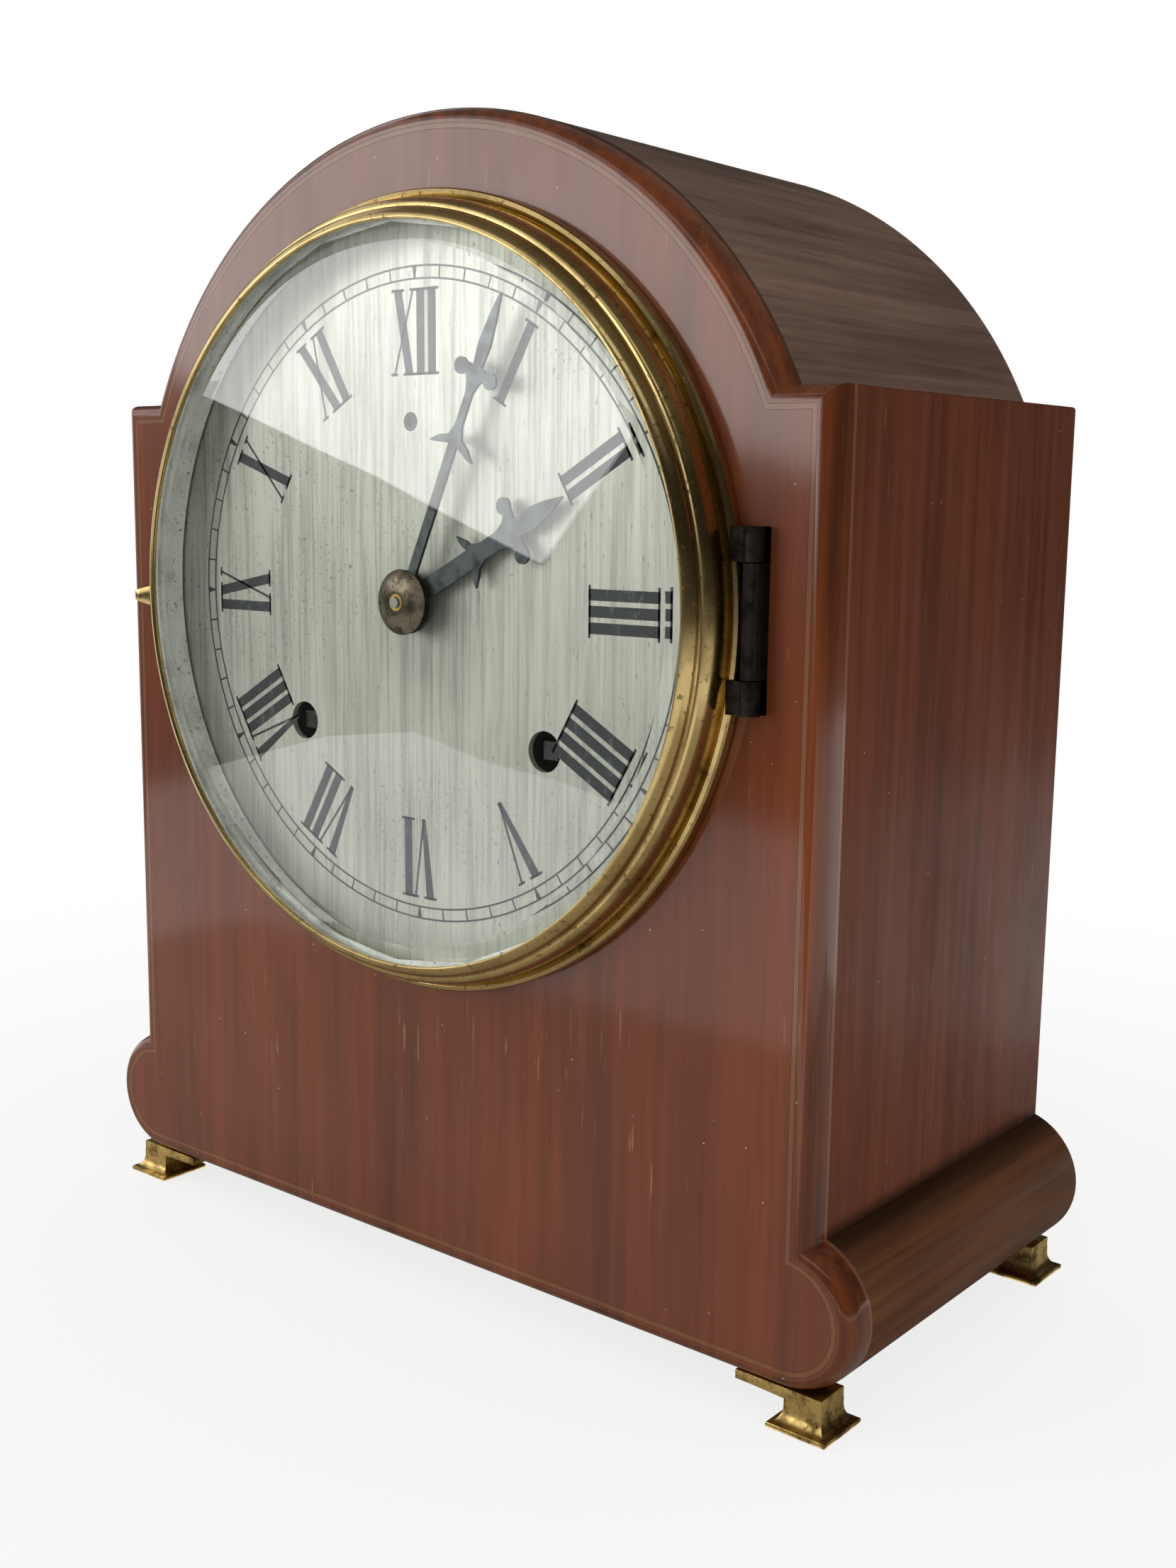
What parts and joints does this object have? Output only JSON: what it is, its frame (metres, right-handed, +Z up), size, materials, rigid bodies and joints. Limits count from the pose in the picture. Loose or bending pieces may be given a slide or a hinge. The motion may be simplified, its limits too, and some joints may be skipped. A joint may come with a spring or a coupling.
{
  "type": "bracket clock",
  "caption": "Bracket clock with an arched wooden case on brass feet, a round silvered dial behind a hinged brass bezel, and a spring-driven pendulum movement with an hour gong.",
  "frame": {"origin": "on the standing surface, under the middle of the overall box", "axes": "+Z up, dial facing -Y, +X to the right as the dial is read"},
  "size_m": [0.2456, 0.1278, 0.2814],
  "materials": {
    "mahogany_front": "French polished, worn satin",
    "mahogany_side": "old polish, satin",
    "mahogany_roof": "old polish, dark and satin",
    "inner_wood": "bare planed wood",
    "boxwood": "polished pale inlay",
    "brass_old": "tarnished lacquered brass",
    "brass_bright": "polished brass",
    "silvered": "silvered, vertically brushed",
    "steel_dark": "blued or blackened, satin",
    "steel": "plain steel",
    "glass": "clear bevelled glass"
  },
  "bodies": {
    "case": {"front_board": "mahogany_front", "front_stringing": "boxwood", "edge_stringing": "boxwood", "base_moulding_left": "mahogany_side", "base_moulding_right": "mahogany_side", "side_panel_left": "mahogany_side", "side_panel_right": "mahogany_side", "shoulder_rail_left": "inner_wood", "shoulder_rail_right": "inner_wood", "foot_front_left": "brass_old", "foot_front_right": "brass_old", "foot_back_left": "brass_old", "foot_back_right": "brass_old", "base_board": "inner_wood", "roof_shell": "mahogany_roof", "back_board": "mahogany_roof", "door_hinge_case_leaf_upper": "brass_old", "door_hinge_case_leaf_lower": "brass_old", "door_hinge_pin_upper": "steel", "door_hinge_pin_lower": "steel", "bezel_hinge_plate": "steel_dark", "bezel_hinge_pin": "steel_dark", "dial_plate": "silvered", "front_plate": "brass_bright", "back_plate": "brass_bright", "movement_strap_upper": "steel", "movement_strap_lower": "steel", "suspension_cock": "brass_bright", "gong": "steel_dark", "gong_stand": "steel_dark"},
    "bezel": {"bezel_ring": "brass_old", "bezel_glass": "glass", "glass_retainer": "brass_old"},
    "rear_door": {"back_door": "mahogany_roof", "door_knob": "brass_bright", "door_hinge_door_leaf_upper": "brass_old", "door_hinge_door_leaf_lower": "brass_old"},
    "minute_arbor": {"centre_arbor": "steel", "centre_wheel": "brass_bright", "cannon_pinion": "brass_bright", "minute_hand": "steel_dark", "hand_collet": "steel_dark"},
    "hour_pipe": {"hour_wheel": "brass_bright", "hour_hand": "steel_dark"},
    "motion_wheel": {"minute_wheel": "brass_bright"},
    "going_drum": {"going_barrel": "brass_bright"},
    "strike_drum": {"strike_barrel": "brass_bright"},
    "going_square": {"going_winding_arbor": "steel"},
    "strike_square": {"strike_winding_arbor": "steel"},
    "regulator": {"regulator_arbor": "steel"},
    "pendulum": {"pendulum_rod": "steel", "pendulum_bob": "brass_bright", "pendulum_nut": "brass_bright"},
    "intermediate_arbor": {"intermediate_wheel": "brass_bright"},
    "third_arbor": {"third_wheel": "brass_bright"},
    "escape_arbor": {"escape_wheel": "brass_bright"},
    "pallet_arbor": {"pallets": "steel"},
    "pin_wheel_arbor": {"pin_wheel": "brass_bright"},
    "fly_arbor": {"fly": "steel"},
    "hammer_arbor": {"hammer": "steel"}
  },
  "joints": [
    {"name": "bezel_hinge", "type": "hinge", "parent": "case", "child": "bezel", "pos_m": [0.0952, -0.0536, 0.17155], "axis": [0, 0, 1], "range_deg": [0, 120]},
    {"name": "back_door_hinge", "type": "hinge", "parent": "case", "child": "rear_door", "pos_m": [0.0736, 0.0597, 0.116], "axis": [0, 0, -1], "range_deg": [0, 110]},
    {"name": "minute_hand_turn", "type": "hinge", "parent": "case", "child": "minute_arbor", "pos_m": [0, -0.0553, 0.171], "axis": [0, 1, 0], "continuous": true},
    {"name": "hour_hand_turn", "type": "hinge", "parent": "case", "child": "hour_pipe", "pos_m": [0, -0.0535, 0.171], "axis": [0, 1, 0], "continuous": true},
    {"name": "motion_wheel_turn", "type": "hinge", "parent": "case", "child": "motion_wheel", "pos_m": [-0.01358, -0.0369, 0.18458], "axis": [0, 1, 0], "continuous": true},
    {"name": "going_barrel_turn", "type": "hinge", "parent": "case", "child": "going_drum", "pos_m": [0.0395, -0.0149, 0.1394], "axis": [0, 1, 0], "continuous": true},
    {"name": "strike_barrel_turn", "type": "hinge", "parent": "case", "child": "strike_drum", "pos_m": [-0.0395, -0.0149, 0.1394], "axis": [0, 1, 0], "continuous": true},
    {"name": "going_winding", "type": "hinge", "parent": "case", "child": "going_square", "pos_m": [0.0395, -0.0449, 0.1394], "axis": [0, 1, 0], "continuous": true},
    {"name": "strike_winding", "type": "hinge", "parent": "case", "child": "strike_square", "pos_m": [-0.0395, -0.0449, 0.1394], "axis": [0, 1, 0], "continuous": true},
    {"name": "regulator_turn", "type": "hinge", "parent": "case", "child": "regulator", "pos_m": [-0.002, -0.0449, 0.2123], "axis": [0, 1, 0], "continuous": true},
    {"name": "pendulum_swing", "type": "hinge", "parent": "case", "child": "pendulum", "pos_m": [0, 0.0156, 0.213], "axis": [0, 1, 0], "range_deg": [-2.5, 2.5]},
    {"name": "intermediate_turn", "type": "hinge", "parent": "case", "child": "intermediate_arbor", "pos_m": [0.01567, -0.0149, 0.15847], "axis": [0, 1, 0], "continuous": true},
    {"name": "third_turn", "type": "hinge", "parent": "case", "child": "third_arbor", "pos_m": [0.01474, -0.0149, 0.18449], "axis": [0, 1, 0], "continuous": true},
    {"name": "escape_turn", "type": "hinge", "parent": "case", "child": "escape_arbor", "pos_m": [0, -0.0149, 0.1915], "axis": [0, 1, 0], "continuous": true},
    {"name": "pallet_rock", "type": "hinge", "parent": "case", "child": "pallet_arbor", "pos_m": [0, -0.0149, 0.2061], "axis": [0, 1, 0], "range_deg": [-3.1, 3.1]},
    {"name": "pin_wheel_turn", "type": "hinge", "parent": "case", "child": "pin_wheel_arbor", "pos_m": [-0.03631, -0.0149, 0.16975], "axis": [0, 1, 0], "continuous": true},
    {"name": "fly_turn", "type": "hinge", "parent": "case", "child": "fly_arbor", "pos_m": [-0.03187, -0.0149, 0.18523], "axis": [0, 1, 0], "continuous": true},
    {"name": "hammer_lift", "type": "hinge", "parent": "case", "child": "hammer_arbor", "pos_m": [-0.05, -0.0149, 0.179], "axis": [0, 1, 0], "range_deg": [0, 12]}
  ],
  "couplings": [
    {"joint": "hour_hand_turn", "follows": "minute_hand_turn", "ratio": 0.083333},
    {"joint": "motion_wheel_turn", "follows": "minute_hand_turn", "ratio": -0.33333},
    {"joint": "going_barrel_turn", "follows": "minute_hand_turn", "ratio": 0.033333},
    {"joint": "intermediate_turn", "follows": "minute_hand_turn", "ratio": -0.2},
    {"joint": "third_turn", "follows": "minute_hand_turn", "ratio": -8},
    {"joint": "escape_turn", "follows": "minute_hand_turn", "ratio": 60},
    {"joint": "pallet_rock", "follows": "pendulum_swing", "ratio": 1.2371},
    {"joint": "pin_wheel_turn", "follows": "strike_barrel_turn", "ratio": -6},
    {"joint": "fly_turn", "follows": "strike_barrel_turn", "ratio": 40}
  ]
}
